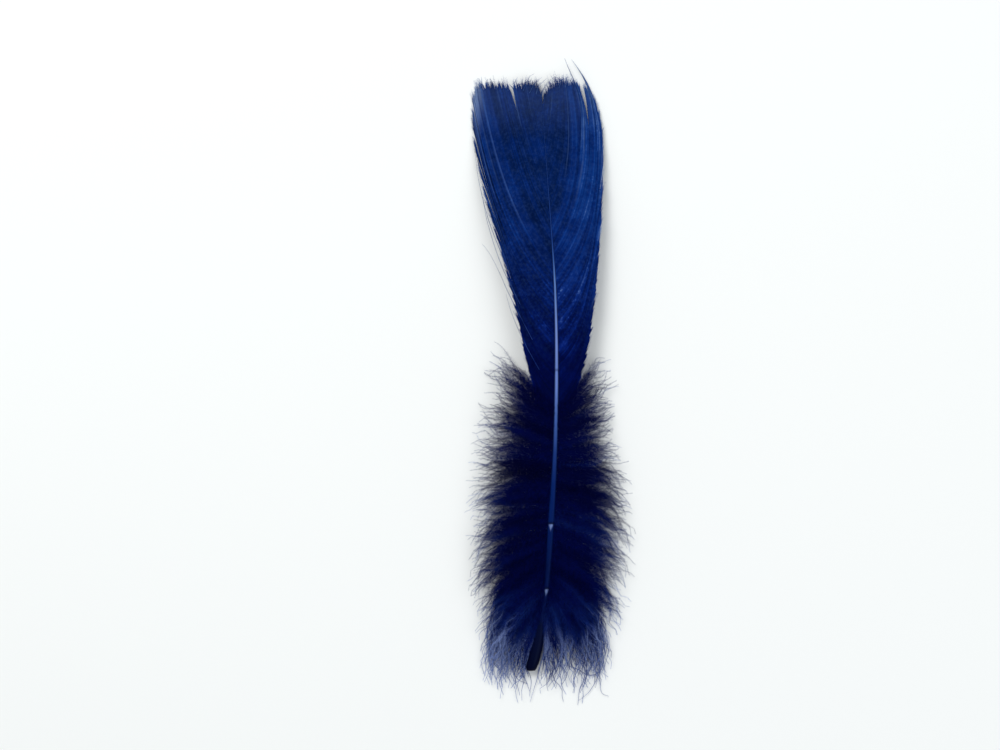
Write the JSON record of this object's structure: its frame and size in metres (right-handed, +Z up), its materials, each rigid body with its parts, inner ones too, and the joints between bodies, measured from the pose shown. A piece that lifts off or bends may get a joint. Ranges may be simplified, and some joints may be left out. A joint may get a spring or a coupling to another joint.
{
  "type": "goose quill feather",
  "caption": "Loose body feather with a bent quill, a nearly square vane split into locks at its tip, and loose down on both sides of the lower shaft. It lies with its outer side up.",
  "frame": {"origin": "on the surface that the feather lies on, at the middle of its box", "axes": "+Y along the feather from the quill's cut end to the tip of the vanes, +Z up from the surface to the feather's outer side, +X to the right seen from above with the tip away from the viewer"},
  "size_m": [0.0324, 0.1261, 0.0074],
  "materials": {
    "dyed_barbs": "satin, keratin barbs dyed right through"
  },
  "bodies": {
    "root": {"feather": "dyed_barbs"}
  },
  "joints": []
}
